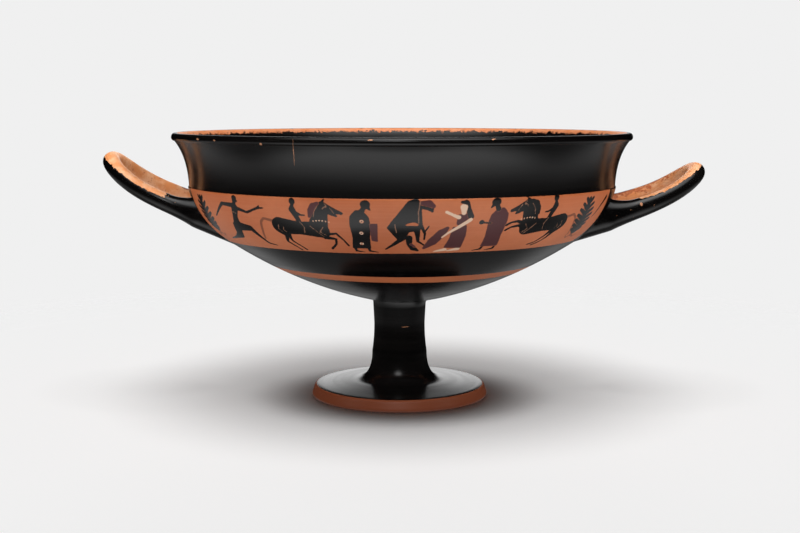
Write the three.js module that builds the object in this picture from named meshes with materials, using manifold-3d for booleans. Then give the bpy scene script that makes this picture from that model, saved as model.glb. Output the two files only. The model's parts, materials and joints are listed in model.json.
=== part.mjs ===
// A kylix: a wide, footed drinking cup with two upturned loop handles, thrown in clay,
// joined while leather-hard and fired as one body.
// Millimetres, +Z up. The origin is on the bowl's axis, in the plane that the foot stands on.
// The handles lie along X.

import * as THREE from "three";
import { mergeVertices } from "three/addons/utils/BufferGeometryUtils.js";
import Module from "manifold-3d";

// ---------------------------------------------------------------- driving dimensions

const HEIGHT = 129.1;

// The rim is folded outwards; a shallow groove separates the fold from the lip under it.
const RIM = {
  crestRadius: 108.2,
  crestWidth: 0.6,
  radius: 110.2,
  foldRadius: 109.3,
  foldHeight: 3.6,
  grooveDepth: 0.5,
  grooveWidth: 0.2,
};

// The lip is concave: it leaves the rim's fold steeply and stands almost upright on the bowl.
const LIP = { baseRadius: 102.3, baseHeight: 103.9, hollowRadius: 102.8, hollowHeight: 117.6 };

// The bowl starts a hair outside the lip, turns in at the shoulder and runs flat to the stem.
const BOWL = {
  edgeRadius: 102.7,
  edgeHeight: 103.5,
  shoulder: [99.6, 88.4],
  turnRadius: 86,
  turnHeight: 79.2,
  belly: [51.2, 55.7],
  baseRadius: 13.4,
  baseHeight: 47.5,
};

const WALL = { lip: 3.7, bowl: 4.3, floor: 6.0, floorDip: 0.8 };

// Everything below the bowl stands a little to one side of the bowl's axis.
const STEM = {
  collarRadius: 12.95,
  collarWidth: 0.8,
  waistRadius: 12.4,
  waistHeight: 36,
  kneeHeight: 28,
  ankleRadius: 13.4,
  ankleHeight: 22,
  offset: -1.2,
  offsetUpTo: 46,
  centredFrom: 50,
};

const FOOT = {
  topRadius: 41.7,
  topHeight: 5.7,
  radius: 43.1,
  coneRadius: 22.5,
  coneHeight: 7.9,
  restOuter: 42.3,
  restInner: 35.6,
  bevel: 1.2,
};

// Under the foot a shallow dish leads to a funnel, the hollow that the potter's tool left.
const FOOT_HOLLOW = {
  edgeHeight: 0.4,
  stepWidth: 1,
  stepHeight: 1.7,
  funnelRadius: 13,
  funnelHeight: 4.6,
  shoulderHeight: 2,
  throatRadius: 5.6,
  throatHeight: 13,
  pointRadius: 4.48,
  pointLength: 3,
  top: 31,
};

// A handle's roll of clay, and the loop that it is bent into. Heights are of its centre line.
const HANDLES = [
  {
    side: -1,
    reach: 140.3,
    rootHeight: 89.7,
    tipHeight: 115.5,
    rootSlope: 0.54,
    buriedSlope: 0.42,
    tipSlope: 1.06,
    spread: 23.4,
    rootRadius: 4.5,
    tipRadius: 4.1,
  },
  {
    side: 1,
    reach: 142.4,
    rootHeight: 88.6,
    tipHeight: 110.3,
    rootSlope: 0.39,
    buriedSlope: 0.3,
    tipSlope: 0.88,
    spread: 22.8,
    rootRadius: 5.1,
    tipRadius: 4.1,
  },
];
// At its roots the roll is spread on the bowl: sideways, well up the wall and hardly down it.
const HANDLE = {
  rootX: 96,
  buried: 22,
  roundness: 2.4,
  taperLength: 36,
  flare: { length: 16, side: 3.6, up: 7, down: 0.7 },
  tangentStep: 0.2,
};

const TURNED_SIDES = 60;
const ROLL_SIDES = 10;
const ROLL_STEPS = 32;
const STEPS = { belly: 6, shoulder: 5, lip: 5, fold: 2, flare: 6, knee: 3, funnel: 4 };

// How far a tool that cuts a hollow reaches past the face that it enters.
const OVERCUT = 2;

// ---------------------------------------------------------------- helpers

const at = (r, z) => new THREE.Vector2(r, z);

// A curved stretch of an outline: from a to b, drawn towards c, without its first point.
function bend(a, c, b, steps) {
  return new THREE.QuadraticBezierCurve(a, c, b).getPoints(steps).slice(1);
}

// The outline moved sideways, along its own normal, by a thickness that each height sets.
function offsetOutline(outline, thicknessAt) {
  return outline.map((p, i) => {
    const before = outline[Math.max(i - 1, 0)];
    const after = outline[Math.min(i + 1, outline.length - 1)];
    const along = after.clone().sub(before).normalize();
    const inward = at(along.y, -along.x);
    return p.clone().addScaledVector(inward, thicknessAt(p));
  });
}

const wasm = await Module();
wasm.setup();

function toSolid(geometry) {
  geometry.deleteAttribute("normal");
  geometry.deleteAttribute("uv");
  const merged = mergeVertices(geometry, 1e-4);
  const corners = merged.index.array;
  const kept = [];
  for (let i = 0; i < corners.length; i += 3) {
    const [a, b, c] = corners.slice(i, i + 3);
    if (a !== b && b !== c && c !== a) kept.push(a, b, c);
  }
  return new wasm.Manifold(
    new wasm.Mesh({
      numProp: 3,
      vertProperties: new Float32Array(merged.attributes.position.array),
      triVerts: new Uint32Array(kept),
    }),
  );
}

function toGeometry(solid) {
  const mesh = solid.getMesh();
  const geometry = new THREE.BufferGeometry();
  geometry.setAttribute("position", new THREE.BufferAttribute(mesh.vertProperties, 3));
  geometry.setIndex(new THREE.BufferAttribute(mesh.triVerts, 1));
  geometry.computeVertexNormals();
  return geometry;
}

function leanAt(z) {
  return STEM.offset * (1 - THREE.MathUtils.smoothstep(z, STEM.offsetUpTo, STEM.centredFrom));
}

// A solid of revolution about Z, from an outline that starts and ends on the axis and runs upwards.
function turned(outline) {
  const geometry = new THREE.LatheGeometry(outline, TURNED_SIDES).rotateX(Math.PI / 2);
  const position = geometry.attributes.position;
  for (let i = 0; i < position.count; i += 1) {
    position.setX(i, position.getX(i) + leanAt(position.getZ(i)));
  }
  return toSolid(geometry);
}

// ---------------------------------------------------------------- the turned body

const bowlTurn = at(BOWL.turnRadius, BOWL.turnHeight);
const bowlBase = at(BOWL.baseRadius, BOWL.baseHeight);
const bowlEdge = at(BOWL.edgeRadius, BOWL.edgeHeight);

function outsideOfBowl() {
  return [
    bowlBase,
    ...bend(bowlBase, at(...BOWL.belly), bowlTurn, STEPS.belly),
    ...bend(bowlTurn, at(...BOWL.shoulder), bowlEdge, STEPS.shoulder),
  ];
}

function outsideOfLip() {
  const base = at(LIP.baseRadius, LIP.baseHeight);
  const hollow = at(LIP.hollowRadius, LIP.hollowHeight);
  const groove = at(RIM.foldRadius - RIM.grooveDepth, HEIGHT - RIM.foldHeight);
  return [base, ...bend(base, hollow, groove, STEPS.lip)];
}

function rimFold() {
  const low = at(RIM.foldRadius, HEIGHT - RIM.foldHeight + RIM.grooveWidth);
  const middle = at(RIM.radius, HEIGHT - RIM.foldHeight / 2);
  const crest = at(RIM.crestRadius, HEIGHT);
  return [
    low,
    ...bend(low, at(RIM.radius, low.y), middle, STEPS.fold),
    ...bend(middle, at(RIM.radius, HEIGHT), crest, STEPS.fold),
  ];
}

function outsideOfFoot() {
  const edge = at(FOOT.topRadius, FOOT.topHeight);
  const cone = at(FOOT.coneRadius, FOOT.coneHeight);
  const ankle = at(STEM.ankleRadius, STEM.ankleHeight);
  const knee = at(STEM.waistRadius, STEM.kneeHeight);
  const waist = at(STEM.waistRadius, STEM.waistHeight);
  const collar = at(STEM.collarRadius, BOWL.baseHeight - STEM.collarWidth);
  return [
    at(FOOT.restOuter, 0),
    at(FOOT.radius, FOOT.bevel),
    edge,
    cone,
    ...bend(cone, at(STEM.ankleRadius, FOOT.coneHeight), ankle, STEPS.flare),
    ...bend(ankle, knee, waist, STEPS.knee),
    collar,
  ];
}

const filledBody = turned([
  at(0, 0),
  ...outsideOfFoot(),
  ...outsideOfBowl(),
  ...outsideOfLip(),
  ...rimFold(),
  at(0, HEIGHT),
]);

// The hollow of the bowl follows the outside at the wall's thickness, thicker over the stem.
function wallAt(p) {
  if (p.y > BOWL.edgeHeight) return WALL.lip;
  const towardsFloor = 1 - THREE.MathUtils.smoothstep(p.x, BOWL.baseRadius, BOWL.turnRadius);
  return THREE.MathUtils.lerp(WALL.bowl, WALL.floor, towardsFloor);
}

function insideOfBowl() {
  const outside = [...outsideOfBowl().slice(1, -1), ...outsideOfLip().slice(1)];
  const inside = offsetOutline(outside, (p) => -wallAt(p));
  const middle = at(0, inside[0].y - WALL.floorDip);
  const mouth = at(RIM.crestRadius - RIM.crestWidth, HEIGHT);
  const above = at(mouth.x + OVERCUT / 2, HEIGHT + OVERCUT);
  return [middle, ...inside, mouth, above, at(0, above.y)];
}

function underFoot() {
  const hollow = FOOT_HOLLOW;
  const funnel = at(hollow.funnelRadius, hollow.funnelHeight);
  const shoulder = at(hollow.throatRadius, hollow.funnelHeight + hollow.shoulderHeight);
  const throat = at(hollow.throatRadius, hollow.throatHeight);
  return [
    at(0, -OVERCUT),
    at(FOOT.restInner, -OVERCUT),
    at(FOOT.restInner, hollow.edgeHeight),
    at(FOOT.restInner - hollow.stepWidth, hollow.stepHeight),
    funnel,
    ...bend(funnel, shoulder, throat, STEPS.funnel),
    at(hollow.pointRadius, hollow.top - hollow.pointLength),
    at(0, hollow.top),
  ];
}

// ---------------------------------------------------------------- the handles

// The centre line of a loop: a rounded horseshoe in plan that climbs ever more steeply.
class HandleLine extends THREE.Curve {
  constructor(handle) {
    super();
    this.handle = handle;
  }

  getPoint(u, target = new THREE.Vector3()) {
    const h = this.handle;
    const power = 2 / HANDLE.roundness;
    const turn = Math.PI * u;
    const out = Math.sin(turn) ** power;
    const across = -Math.sign(Math.cos(turn)) * Math.abs(Math.cos(turn)) ** power;
    const length = h.reach - HANDLE.rootX;
    const climb =
      (2 * out ** 3 - 3 * out ** 2 + 1) * h.rootHeight +
      (out ** 3 - 2 * out ** 2 + out) * length * h.rootSlope +
      (3 * out ** 2 - 2 * out ** 3) * h.tipHeight +
      (out ** 3 - out ** 2) * length * h.tipSlope;
    return target.set(h.side * (HANDLE.rootX + length * out), across * h.spread, climb);
  }
}

// Past its two ends the line runs on, straight and down, through the wall of the bowl.
function pointOnHandle(line, s, length) {
  const point = line.getPointAt(THREE.MathUtils.clamp(s / length, 0, 1));
  const { side, buriedSlope } = line.handle;
  const run = Math.max(-s, s - length, 0) * Math.cos(Math.atan(buriedSlope));
  return point.add(new THREE.Vector3(-side * run, 0, -run * buriedSlope));
}

// The roll's section at a distance from the nearer root: its plain radius, and how far it spreads.
function rollSection(handle, fromRoot) {
  const { length, side, up, down } = HANDLE.flare;
  const taper = THREE.MathUtils.smoothstep(fromRoot, 0, HANDLE.taperLength);
  const radius = THREE.MathUtils.lerp(handle.rootRadius, handle.tipRadius, taper);
  const spread = Math.max(1 - fromRoot / length, 0) ** 2;
  return { side: radius + side * spread, up: radius + up * spread, down: radius + down * spread };
}

// The roll is turned straight with a radius of one, then sized and bent along its centre line.
function handleSolid(handle) {
  const line = new HandleLine(handle);
  const length = line.getLength();
  const start = -HANDLE.buried;
  const end = length + HANDLE.buried;
  const rings = Array.from({ length: ROLL_STEPS + 1 }, (_, i) => {
    return at(1, THREE.MathUtils.lerp(start, end, i / ROLL_STEPS));
  });
  const geometry = new THREE.LatheGeometry([at(0, start), ...rings, at(0, end)], ROLL_SIDES);
  const position = geometry.attributes.position;
  const vertical = new THREE.Vector3(0, 0, 1);
  const vertex = new THREE.Vector3();
  for (let i = 0; i < position.count; i += 1) {
    vertex.fromBufferAttribute(position, i);
    const s = vertex.y;
    const section = rollSection(handle, Math.max(Math.min(s, length - s), 0));
    const before = pointOnHandle(line, s - HANDLE.tangentStep, length);
    const along = pointOnHandle(line, s + HANDLE.tangentStep, length).sub(before).normalize();
    const across = new THREE.Vector3().crossVectors(along, vertical).normalize();
    const over = new THREE.Vector3().crossVectors(across, along);
    const point = pointOnHandle(line, s, length)
      .addScaledVector(across, vertex.x * section.side)
      .addScaledVector(over, vertex.z * (vertex.z > 0 ? section.up : section.down));
    position.setXYZ(i, point.x, point.y, point.z);
  }
  return toSolid(geometry);
}

// ---------------------------------------------------------------- the cup

let cup = filledBody;
for (const handle of HANDLES) {
  cup = cup.add(handleSolid(handle));
}
cup = cup.subtract(turned(insideOfBowl())).subtract(turned(underFoot()));

const slipPaintedClay = new THREE.MeshStandardMaterial({
  name: "slip_painted_clay",
  color: 0x17130f,
  roughness: 0.22,
  metalness: 0,
});

const kylix = new THREE.Mesh(toGeometry(cup), slipPaintedClay);
kylix.name = "kylix";

const group = new THREE.Group();
group.add(kylix);

export default group;
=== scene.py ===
# %% [markdown]
# # A painted drinking cup
# A kylix is a wide drinking cup on a stem. The potter throws the bowl and the foot on a wheel, joins
# them, and sets two rolled handles on the bowl while the clay is leather-hard. The painter then lays
# an iron-rich slip over almost everything. In the kiln the slip turns glossy black, and the bare
# clay stays orange. A band of bare clay below the lip holds the figures.
# One closed mesh carries all of that, and its colours are painted as distances: every point of
# the mesh knows how many millimetres it is from the edge of each colour.

# %% The frame
import json
import math

import bpy
import numpy as np
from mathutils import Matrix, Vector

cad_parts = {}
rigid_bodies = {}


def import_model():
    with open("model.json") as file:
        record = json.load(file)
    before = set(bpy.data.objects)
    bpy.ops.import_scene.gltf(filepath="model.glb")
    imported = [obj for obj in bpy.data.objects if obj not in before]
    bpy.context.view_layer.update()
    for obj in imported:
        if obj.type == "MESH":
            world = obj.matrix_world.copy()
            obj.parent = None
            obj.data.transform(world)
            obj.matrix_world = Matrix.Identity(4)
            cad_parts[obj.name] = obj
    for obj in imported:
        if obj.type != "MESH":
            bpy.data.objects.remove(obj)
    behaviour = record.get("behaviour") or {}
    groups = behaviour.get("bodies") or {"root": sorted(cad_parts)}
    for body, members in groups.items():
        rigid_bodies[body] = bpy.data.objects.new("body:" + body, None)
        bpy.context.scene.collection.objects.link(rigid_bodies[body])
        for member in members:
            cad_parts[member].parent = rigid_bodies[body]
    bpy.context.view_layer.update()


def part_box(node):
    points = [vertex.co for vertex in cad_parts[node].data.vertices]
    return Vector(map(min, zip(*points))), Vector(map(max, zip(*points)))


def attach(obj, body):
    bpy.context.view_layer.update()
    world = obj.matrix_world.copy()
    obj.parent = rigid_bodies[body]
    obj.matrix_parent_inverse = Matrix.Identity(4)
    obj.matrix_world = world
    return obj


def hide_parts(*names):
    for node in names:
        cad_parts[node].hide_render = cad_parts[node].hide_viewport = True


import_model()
cup_low, cup_high = (np.array(corner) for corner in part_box("kylix"))
MM = 0.001
HEIGHT = cup_high[2] / MM
print("cup in mm:", np.round((cup_high - cup_low) / MM, 1))

# %% [markdown]
# ## The outline
# On the wheel, everything round is one outline turned about the axis. It could be drawn as a Bezier
# curve and spun with a Screw modifier. Here each stretch is worked out as a quadratic curve, because
# the painting needs to know how far along the outline every point lies.

# %% Stretches of the outline
def bend(start, pull, end, steps=40):
    """Points of a curve from start to end, drawn towards pull: (1-t)^2 start + 2t(1-t) pull + t^2 end."""
    t = np.linspace(0, 1, steps + 1)[:, None]
    return (1 - t) ** 2 * np.array(start) + 2 * t * (1 - t) * np.array(pull) + t**2 * np.array(end)


def join(*stretches):
    """One line through several stretches, without the points that two neighbours share."""
    points = np.vstack([np.atleast_2d(stretch).astype(float) for stretch in stretches])
    fresh = np.hypot(*np.diff(points, axis=0).T) > 1e-6
    return points[np.concatenate([[True], fresh])]


def length_along(line):
    """Distance from the line's first point to each of its points."""
    return np.concatenate([[0], np.cumsum(np.linalg.norm(np.diff(line, axis=0), axis=1))])


def paced(line, pace):
    """The line again, with its points evenly spaced, about pace apart."""
    run = length_along(line)
    marks = np.linspace(0, run[-1], max(2, round(run[-1] / pace) + 1))
    return np.column_stack([np.interp(marks, run, axis) for axis in line.T])


# %% The outline's sizes, as radius and height in millimetres
HOLLOW_TOP = (0, 31)
THROAT = (5.6, 13)
FUNNEL = (13, 4.6)
HOLLOW_BENDS = [
    # start, pull, end, and for some the number of steps
    (HOLLOW_TOP, (4.2, 31), (4.5, 27.5)),
    (THROAT, (5.6, 6.6), FUNNEL),
]
DISH_EDGE = (34.6, 1.7)
REST_INNER = (36.2, 0)
REST_OUTER = (42.0, 0)
FOOT_WIDEST = (43.1, 1.2)
FOOT_TOP = (41.0, 5.8)
FOOT_EDGE_BENDS = [
    (DISH_EDGE, (35.4, 1.6), (35.6, 0.8), 6),
    ((35.6, 0.5), (35.7, 0), REST_INNER, 6),
    (REST_OUTER, (42.95, 0.1), FOOT_WIDEST, 8),
    ((41.95, 4.7), (41.7, 5.7), FOOT_TOP, 8),
]
CONE_TOP = (22.5, 7.9)
STEM_LOW = (13.4, 22)
STEM_PULL = (12.4, 28)
STEM_WAIST = (12.4, 36)
COLLAR = (12.95, 46.6)
COLLAR_PULL = (13.3, 46.7)
BOWL_BASE = (13.5, 47.5)
BELLY_PULL = (51.2, 55.7)
TURN = (86, 79.2)
SHOULDER_PULL = (99.6, 88.4)
BOWL_EDGE = (102.7, 103.3)
STEP_PULL = (102.75, 103.75)
LIP_BASE = (102.3, 103.95)
LIP_PULL = (102.8, 117.6)
FOLD_LOW = (108.75, HEIGHT - 3.7)
FOLD_WIDEST = (110.2, HEIGHT - 1.8)
CREST = (108.1, HEIGHT)
MOUTH_EDGE = (106.5, HEIGHT - 0.8)
FOLD_FACE = (110.1, HEIGHT - 2.7)
FOLD_BENDS = [
    (FOLD_LOW, (109.9, HEIGHT - 3.6), FOLD_FACE, 6),
    (FOLD_FACE, (110.3, HEIGHT - 2.2), FOLD_WIDEST, 4),
    (FOLD_WIDEST, (109.9, HEIGHT), CREST, 10),
    (CREST, (107.2, HEIGHT), MOUTH_EDGE, 6),
]
LIP_INSIDE_PULL = (98.6, 113)
BOWL_INSIDE_TOP = (97.2, 101)
SHOULDER_INSIDE_PULL = (95.1, 90.4)
TURN_INSIDE = (83.6, 82.8)
BELLY_INSIDE_PULL = (64, 69.9)
FLOOR_EDGE = (36.4, 59.9)
FLOOR_PULL = (22, 55.2)
FLOOR = (0, 55.4)
print("rim:", 2 * FOLD_WIDEST[0], "mm across, foot:", 2 * FOOT_WIDEST[0], "mm across")

# %% The outline, zone by zone
hollow = join(*[bend(*curve) for curve in HOLLOW_BENDS], DISH_EDGE)
foot_edge = join(*[bend(*curve) for curve in FOOT_EDGE_BENDS])
foot_top = join(FOOT_TOP, CONE_TOP)
stem = join(
    bend(CONE_TOP, (STEM_LOW[0], CONE_TOP[1]), STEM_LOW),
    bend(STEM_LOW, STEM_PULL, STEM_WAIST),
    COLLAR,
    bend(COLLAR, COLLAR_PULL, BOWL_BASE, 4),
)
belly = bend(BOWL_BASE, BELLY_PULL, TURN, 120)
shoulder = bend(TURN, SHOULDER_PULL, BOWL_EDGE, 80)
step = bend(BOWL_EDGE, STEP_PULL, LIP_BASE, 6)
lip = bend(LIP_BASE, LIP_PULL, FOLD_LOW, 60)
fold = join(*[bend(*curve) for curve in FOLD_BENDS])
inside_lip = join(
    bend(MOUTH_EDGE, LIP_INSIDE_PULL, BOWL_INSIDE_TOP, 50),
    bend(BOWL_INSIDE_TOP, SHOULDER_INSIDE_PULL, TURN_INSIDE, 40),
)
inside_bowl = join(
    bend(TURN_INSIDE, BELLY_INSIDE_PULL, FLOOR_EDGE, 50),
    bend(FLOOR_EDGE, FLOOR_PULL, FLOOR, 40),
)

PICTURE_FLOOR = 78.8
FINE_BELOW_PICTURE = 1.3
near_picture = belly[:, 1] > PICTURE_FLOOR - FINE_BELOW_PICTURE
low_belly = belly[~near_picture]
picture_wall = join(low_belly[-1], belly[near_picture], shoulder)

# Each zone has its own number of columns round the axis, and its own pace between rows.
ZONES = [
    (hollow, 136, 3.4),
    (foot_edge, 136, 0.7),
    (foot_top, 136, 2.3),
    (stem, 136, 1.7),
    (low_belly, 272, 4.0),
    (picture_wall, 1088, 0.6),
    (step, 544, 0.3),
    (lip, 272, 1.7),
    (fold, 272, 0.55),
    (inside_lip, 272, 4.0),
    (inside_bowl, 136, 5.5),
]
outline = join(*[zone for zone, _, _ in ZONES])
outline_run = length_along(outline)


def run_at(point):
    """How far along the outline a given point of it lies."""
    return outline_run[np.argmin(np.hypot(*(outline - point).T))]


print("outline:", round(outline_run[-1], 1), "mm round the section")

# %% [markdown]
# ## The turned body
# A ring of points for every row, and a belt of faces between each ring and the next. The picture needs
# points less than half a millimetre apart, and the stem does not, so where two zones meet, one
# column splits into two. The columns also stand closer at the front than at the back.

# %% Rings and belts
LEAN = 1.2
LEAN_FROM, LEAN_TO = 46, 50
FRONT_CROWDING = 0.27
SPLIT_AT = 0.35


def smooth_step(x, low, high):
    """0 below low, 1 above high, and 3t^2 - 2t^3 between."""
    t = np.clip((x - low) / (high - low), 0, 1)
    return t * t * (3 - 2 * t)


def lean_at(z):
    """The stem and foot stand a little left of the bowl's axis: the shift of a point at height z."""
    return -LEAN * (1 - smooth_step(z, LEAN_FROM, LEAN_TO))


def azimuths(columns):
    """Angle of each column from the front, t - c sin(t), which crowds them where t is small."""
    t = np.arange(columns) / columns * 2 * math.pi
    return t - FRONT_CROWDING * np.sin(t)


def ring(radius, height, columns):
    """Points on a circle about the axis: (r sin a, -r cos a, z), or one point where r is 0."""
    if radius < 1e-6:
        return np.array([[lean_at(height), 0, height]])
    a = azimuths(columns)
    x = radius * np.sin(a) + lean_at(height)
    return np.column_stack([x, -radius * np.cos(a), np.full(columns, height)])


def belt(low, high):
    """Faces between two rings of point numbers, equal, one twice the other, or one a single point."""
    a, b = low, np.roll(low, -1)
    c, d = np.roll(high, -1), high
    if len(low) == len(high):
        return [np.column_stack([a, b, c, d])]
    if len(low) == 1:
        return [np.column_stack([np.full(len(high), low[0]), c, d])]
    if len(high) == 1:
        return [np.column_stack([a, b, np.full(len(low), high[0])])]
    if len(high) == 2 * len(low):
        middle, left, right = high[1::2], high[::2], np.roll(high[::2], -1)
        return [np.column_stack(t) for t in ((a, middle, left), (a, b, middle), (b, right, middle))]
    middle, left, right = low[1::2], low[::2], np.roll(low[::2], -1)
    return [np.column_stack(t) for t in ((left, middle, d), (middle, c, d), (middle, right, c))]


def skin(rings):
    """A closed surface through rings of points, and its faces as arrays of point numbers."""
    starts = np.cumsum([0] + [len(r) for r in rings])
    numbers = [np.arange(a, b) for a, b in zip(starts[:-1], starts[1:])]
    faces = [part for low, high in zip(numbers[:-1], numbers[1:]) for part in belt(low, high)]
    return np.vstack(rings), faces


def make_object(name, points, faces):
    """A mesh object from points in millimetres and lists of face arrays."""
    mesh = bpy.data.meshes.new(name)
    mesh.from_pydata((points * MM).tolist(), [], [face for part in faces for face in part.tolist()])
    mesh.update()
    made = bpy.data.objects.new(name, mesh)
    bpy.context.scene.collection.objects.link(made)
    return made


# %% Turn the body
def body_rings():
    """All the rings, zone after zone, with columns that only ever double or halve from row to row."""
    rows = []
    for line, columns, pace in ZONES:
        points = paced(line, pace)
        for radius, height in points if not rows else points[1:]:
            while rows and rows[-1][2] * 2 < columns:
                last = rows[-1]
                rows.append((
                    last[0] + (radius - last[0]) * SPLIT_AT,
                    last[1] + (height - last[1]) * SPLIT_AT,
                    last[2] * 2,
                ))
            rows.append((radius, height, columns))
    return [ring(*row) for row in rows]


rings = body_rings()
body = make_object("cup", *skin(rings))
print("body:", len(body.data.vertices), "points,", len(body.data.polygons), "faces")

# %% [markdown]
# ## The handles
# Each handle is a roll of clay, bent into a horseshoe that climbs more and more steeply. Its two ends
# are pressed on to the bowl and smoothed out with a wet finger. A curve with a bevel would give the
# roll, but not its spread ends, so the roll is a circle carried along its line, with its own width,
# height above and depth below at every step. A Boolean union then makes roll and bowl one clay.

# %% Sizes of the two loops
HANDLES = [
    dict(side=-1, reach=140.3, root_height=89.7, tip_height=115.5, root_slope=0.54,
         buried_slope=0.42, tip_slope=1.06, spread=23.4, root_radius=4.5, tip_radius=4.1),
    dict(side=1, reach=142.4, root_height=88.6, tip_height=110.3, root_slope=0.39,
         buried_slope=0.3, tip_slope=0.88, spread=22.8, root_radius=5.1, tip_radius=4.1),
]
ROOT_X = 96
BURIED = 22
ROUNDNESS = 2.4
TAPER = 36
FLARE = dict(length=16, side=3.6, up=7, down=0.7)
ROLL_SIDES = 26
ROLL_PACE = 1.6
ROOT_DEPTH = 2.4


# %% The roll's line, and the roll
def loop_line(handle, samples=1200):
    """The horseshoe: out = sin(t)^(2/n) towards the tip, across = cos(t)^(2/n) from arm to arm, and
    a cubic climb with a slope of its own at the root and at the tip."""
    turn = np.linspace(0, math.pi, samples)
    power = 2 / ROUNDNESS
    out = np.abs(np.sin(turn)) ** power
    across = -np.sign(np.cos(turn)) * np.abs(np.cos(turn)) ** power
    length = handle["reach"] - ROOT_X
    climb = (
        (2 * out**3 - 3 * out**2 + 1) * handle["root_height"]
        + (out**3 - 2 * out**2 + out) * length * handle["root_slope"]
        + (3 * out**2 - 2 * out**3) * handle["tip_height"]
        + (out**3 - out**2) * length * handle["tip_slope"]
    )
    x = handle["side"] * (ROOT_X + length * out)
    line = np.column_stack([x, across * handle["spread"], climb])
    inwards = np.array([-handle["side"], 0, -handle["buried_slope"]])
    inwards *= BURIED / np.linalg.norm(inwards)
    return np.vstack([line[0] + inwards, line, line[-1] + inwards])


def roll_frames(handle):
    """Centres of the roll, the directions along, across and over it, and the distance from its root."""
    line = loop_line(handle)
    run = length_along(line)
    marks = np.linspace(0, run[-1], round(run[-1] / ROLL_PACE) + 1)
    centres = np.column_stack([np.interp(marks, run, axis) for axis in line.T])
    along = np.gradient(centres, axis=0)
    along /= np.linalg.norm(along, axis=1)[:, None]
    across = np.cross(along, [0, 0, 1])
    across /= np.linalg.norm(across, axis=1)[:, None]
    over = np.cross(across, along)
    from_root = np.maximum(np.minimum(marks, run[-1] - marks) - BURIED, 0)
    return centres, across, over, from_root


def roll_section(handle, from_root):
    """The roll's half widths: a plain radius that tapers, and a spread that fades from the root."""
    radius = handle["root_radius"] + (
        handle["tip_radius"] - handle["root_radius"]
    ) * smooth_step(from_root, 0, TAPER)
    spread = np.maximum(1 - from_root / FLARE["length"], 0) ** 2
    return [radius + FLARE[way] * spread for way in ("side", "up", "down")]


def nearest_on(line, points, chunk=4000):
    """For every point of a section: the distance along the line to its nearest place, the distance
    to that place (positive on the line's right) and the line's normal there."""
    start, along = line[:-1], np.diff(line, axis=0)
    size = np.hypot(*along.T)
    run = length_along(line)
    found = []
    for first in range(0, len(points), chunk):
        gap = points[first : first + chunk, None, :] - start[None]
        t = np.clip((gap * along).sum(2) / size**2, 0, 1)
        off = gap - t[..., None] * along
        best = np.argmin((off**2).sum(2), axis=1)
        row = np.arange(len(best))
        off, way = off[row, best], along[best] / size[best, None]
        normal = np.column_stack([way[:, 1], -way[:, 0]])
        sign = np.where((off * normal).sum(1) < 0, -1, 1)
        found.append(
            np.column_stack(
                [run[best] + t[row, best] * size[best], sign * np.hypot(*off.T), normal]
            )
        )
    return np.vstack(found)


outer_wall = join(belly, shoulder, step, lip)


def roll(handle):
    """The roll as rings. Where it is buried deeper than the wall's middle, it is pressed back to there."""
    centres, across, over, from_root = roll_frames(handle)
    side, up, down = (half[:, None, None] for half in roll_section(handle, from_root))
    turn = -np.arange(ROLL_SIDES) / ROLL_SIDES * 2 * math.pi
    c, s = np.cos(turn)[None, :, None], np.sin(turn)[None, :, None]
    rows = centres[:, None] + across[:, None] * side * c + over[:, None] * s * np.where(s > 0, up, down)
    points = rows.reshape(-1, 3)
    section = np.column_stack([np.hypot(points[:, 0], points[:, 1]), points[:, 2]])
    _, gap, *normal = nearest_on(outer_wall, section).T
    press = np.maximum(-gap - ROOT_DEPTH, 0)
    outwards = points[:, :2] / section[:, :1]
    points[:, :2] += outwards * (normal[0] * press)[:, None]
    points[:, 2] += normal[1] * press
    rows = points.reshape(rows.shape)
    return [rows[0].mean(0)[None], *rows, rows[-1].mean(0)[None]]


# %% One clay
def unite(base, tool):
    """A Boolean union of two closed meshes, applied to the first; the second is thrown away."""
    union = base.modifiers.new("union", "BOOLEAN")
    union.operation = "UNION"
    union.solver = "MANIFOLD"
    union.object = tool
    shown = base.evaluated_get(bpy.context.evaluated_depsgraph_get())
    joined = bpy.data.meshes.new_from_object(shown)
    base.modifiers.clear()
    old, base.data = base.data, joined
    bpy.data.meshes.remove(old)
    bpy.data.objects.remove(tool)


for handle in HANDLES:
    unite(body, make_object("roll", *skin(roll(handle))))
body.data.name = "cup"
print("cup:", len(body.data.vertices), "points,", len(body.data.polygons), "faces")

# %% [markdown]
# ## Where every point lies
# The painter thinks in heights on the wall and in places round the cup. So each point of the mesh
# gets its distance along the outline, its azimuth, and how far it stands off the turned surface,
# which tells clay of the handles from clay of the bowl.

# %% Places of the points
count = len(body.data.vertices)
flat = np.empty(count * 3)
body.data.vertices.foreach_get("co", flat)
x, y, z = (flat.reshape(-1, 3) / MM).T
azimuth = np.arctan2(x, -y)
section = np.column_stack([np.hypot(x - lean_at(z), y), z])
run, gap = nearest_on(outline, section)[:, :2].T

picture_run = run_at((TURN[0], PICTURE_FLOOR))
rim_run = run_at(CREST)
STRIP_RADIUS = 95
HANDLES_BEYOND, HANDLES_ABOVE = 80, 70
PROUD = 0.2
strip_u = azimuth * STRIP_RADIUS
strip_v = run - picture_run
on_handle = (gap > PROUD) & (np.abs(x) > HANDLES_BEYOND) & (z > HANDLES_ABOVE)
print("points on the handles:", int(on_handle.sum()))

# %% [markdown]
# ## Painted shapes
# A picture could be an image wrapped round the cup. A distance is sharper and needs no image: for
# each brush stroke, every point gets its depth inside the stroke in millimetres, negative outside.
# The shader cuts that at nought and gets a clean edge. Figures are limbs with a width at every
# joint, ovals and outlines of cloth. The band is unrolled flat, u to the right and v up.

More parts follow.
